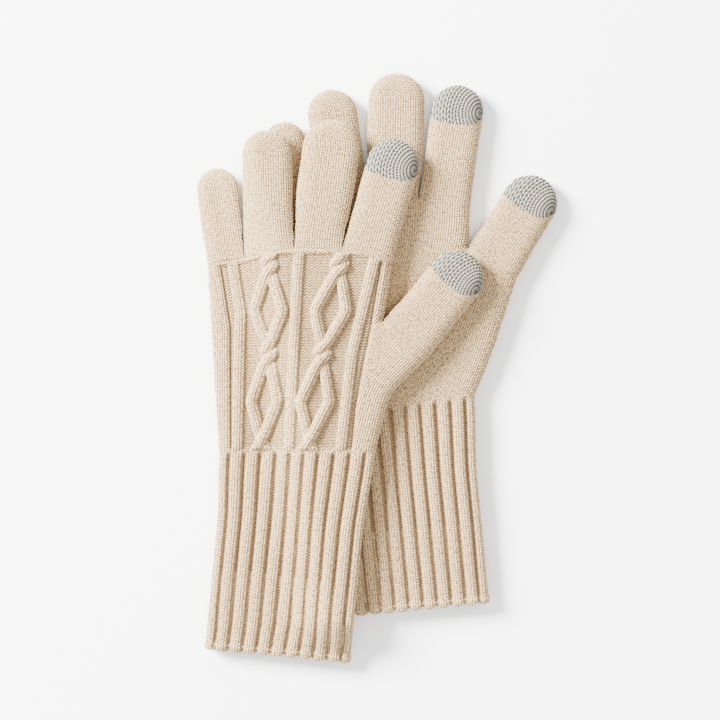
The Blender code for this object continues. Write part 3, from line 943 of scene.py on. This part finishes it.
def stitch_height(nodes, u, v, purl):
    """The stitch relief again, as nodes, for fine shading."""
    part = nodes.math("FRACT", u)
    off = nodes.math("ABSOLUTE", nodes.math("SUBTRACT", part, 0.5))
    leg = nodes.math("ABSOLUTE", nodes.math("SINE", nodes.math("MULTIPLY", off, 2 * math.pi)))
    leg = nodes.math("POWER", leg, 0.7)
    slant = nodes.math("SUBTRACT", v, nodes.math("MULTIPLY", off, 1.5))
    turn = nodes.math("COSINE", nodes.math("MULTIPLY", slant, 2 * math.pi))
    turn = nodes.math("MULTIPLY_ADD", turn, 0.5, 0.5)
    turn = nodes.math("MULTIPLY_ADD", nodes.math("POWER", turn, 0.7), 0.65, 0.35)
    knit = nodes.math("MULTIPLY", leg, turn)
    wave = nodes.math("MULTIPLY", nodes.math("COSINE", nodes.math("MULTIPLY", u, 2 * math.pi)), 0.25)
    rows = nodes.math("COSINE", nodes.math("MULTIPLY", nodes.math("ADD", v, wave), 2 * math.pi))
    rows = nodes.math("MULTIPLY_ADD", rows, 0.5, 0.5)
    return nodes.blend(purl, knit, rows)


def knit_material(name, yarn):
    """Marled yarn: pale and warm fibres by strand, with painted shade between the stitches and in grooves.
    """
    nodes = Nodes(name)
    stitch_map = nodes.add("ShaderNodeUVMap", uv_map="stitches").outputs[0]
    split = nodes.add("ShaderNodeSeparateXYZ")
    nodes.put(split.inputs[0], stitch_map)
    u, v = split.outputs[0], split.outputs[1]
    purl = nodes.add("ShaderNodeAttribute", attribute_name="purl").outputs["Fac"]
    height = stitch_height(nodes, u, v, purl)
    stretched = nodes.add("ShaderNodeMapping")
    nodes.put(stretched.inputs["Vector"], stitch_map)
    stretched.inputs["Scale"].default_value = (2.0, 1.0, 1.0)
    strand = nodes.noise(stretched.outputs[0], 1.05, 3.0, 0.7)
    place = nodes.add("ShaderNodeTexCoord").outputs["Object"]
    fibre = nodes.noise(place, 1500.0, 3.0, 0.65)
    broad = nodes.noise(place, 45.0, 2.0)
    strands = nodes.math("MULTIPLY", strand, 1.0 - MARL_FIBRE)
    marl = nodes.math("ADD", strands, nodes.math("MULTIPLY", fibre, MARL_FIBRE))
    ramp = nodes.add("ShaderNodeMapRange")
    nodes.put(ramp.inputs[0], marl)
    ramp.inputs[1].default_value, ramp.inputs[2].default_value = yarn["marl"]
    marled = nodes.tint(ramp.outputs[0], yarn["warm"], yarn["pale"])
    # painted shade: low stitch heights, in the gaps, take the deep colour
    shaded = nodes.add("ShaderNodeMapRange")
    nodes.put(shaded.inputs[0], height)
    shaded.inputs[1].default_value, shaded.inputs[2].default_value = yarn["gap"]
    # painted shade in grooves, crotches and the whorl's middle, from the mesh
    painted_shade = nodes.add("ShaderNodeAttribute", attribute_name="painted_shade").outputs["Fac"]
    shade_paint = nodes.math("MULTIPLY", painted_shade, HOLLOW_SHADE)
    unshaded_share = nodes.math("MULTIPLY", shaded.outputs[0], nodes.math("SUBTRACT", 1.0, shade_paint))
    colour = nodes.tint(unshaded_share, yarn["deep"], marled)
    lit = nodes.math("MULTIPLY_ADD", broad, *LONG_WAVE)
    scale = nodes.add("ShaderNodeVectorMath", operation="SCALE")
    nodes.put(scale.inputs[0], colour)
    nodes.put(scale.inputs["Scale"], lit)
    nodes.put(nodes.shader.inputs["Base Color"], scale.outputs[0])
    fuzz = nodes.math("MULTIPLY_ADD", nodes.noise(place, 2600.0, 2.0), FUZZ, height)
    bump = nodes.add("ShaderNodeBump")
    bump.inputs["Strength"].default_value = 0.75
    bump.inputs["Distance"].default_value = 0.00035
    nodes.put(bump.inputs["Height"], fuzz)
    nodes.put(nodes.shader.inputs["Normal"], bump.outputs[0])
    shader = nodes.shader.inputs
    shader["Roughness"].default_value = 0.92
    shader["Specular IOR Level"].default_value = 0.15
    shader["Sheen Weight"].default_value = yarn["sheen"]
    shader["Sheen Roughness"].default_value = 0.45
    shader["Sheen Tint"].default_value = (1.0, 0.96, 0.9, 1.0)
    return nodes.material


# ---- light, floor and camera ----

def studio():
    """A white table, soft light from the upper left and a camera straight above."""
    bpy.ops.mesh.primitive_plane_add(size=4.0, location=(0.0, 0.0, -FLOOR_DROP))
    floor = bpy.context.object
    floor.name = "floor"
    paper = bpy.data.materials.new("paper")
    paper.use_nodes = True
    shader = paper.node_tree.nodes["Principled BSDF"].inputs
    shader["Base Color"].default_value = FLOOR_TONE
    shader["Roughness"].default_value = 0.9
    floor.data.materials.append(paper)
    for name, (place, size, power) in LIGHTS.items():
        add_light(name, place, size, power)
    world = bpy.data.worlds.new("studio")
    world.use_nodes = True
    world.node_tree.nodes["Background"].inputs["Color"].default_value = (1.0, 1.0, 1.0, 1.0)
    world.node_tree.nodes["Background"].inputs["Strength"].default_value = SKY
    bpy.context.scene.world = world
    lens = bpy.data.cameras.new("camera")
    lens.sensor_width = SENSOR
    lens.lens = SENSOR * CAMERA_HEIGHT / VIEW_WIDTH
    lens.clip_end = 20.0
    camera = bpy.data.objects.new("camera", lens)
    camera.location = (*VIEW_CENTRE, CAMERA_HEIGHT)
    bpy.context.scene.collection.objects.link(camera)
    bpy.context.scene.camera = camera


def add_light(name, place, size, power):
    """A round area light that looks at the gloves."""
    lamp = bpy.data.lights.new(name, "AREA")
    lamp.shape = "DISK"
    lamp.size = size
    lamp.energy = power
    light = bpy.data.objects.new(name, lamp)
    light.location = place
    light.rotation_euler = (-Vector(place)).to_track_quat("-Z", "Y").to_euler()
    bpy.context.scene.collection.objects.link(light)


WOOL = knit_material("marled_wool", WOOL_YARN)
TOUCH = knit_material("touch_yarn", TOUCH_YARN)
for glove in (RIGHT, LEFT):
    hand(glove, WOOL)
    cuff_pieces(glove, WOOL)
    for each in (*FINGERS, "thumb"):
        finger(glove, each, WOOL, TOUCH)
studio()
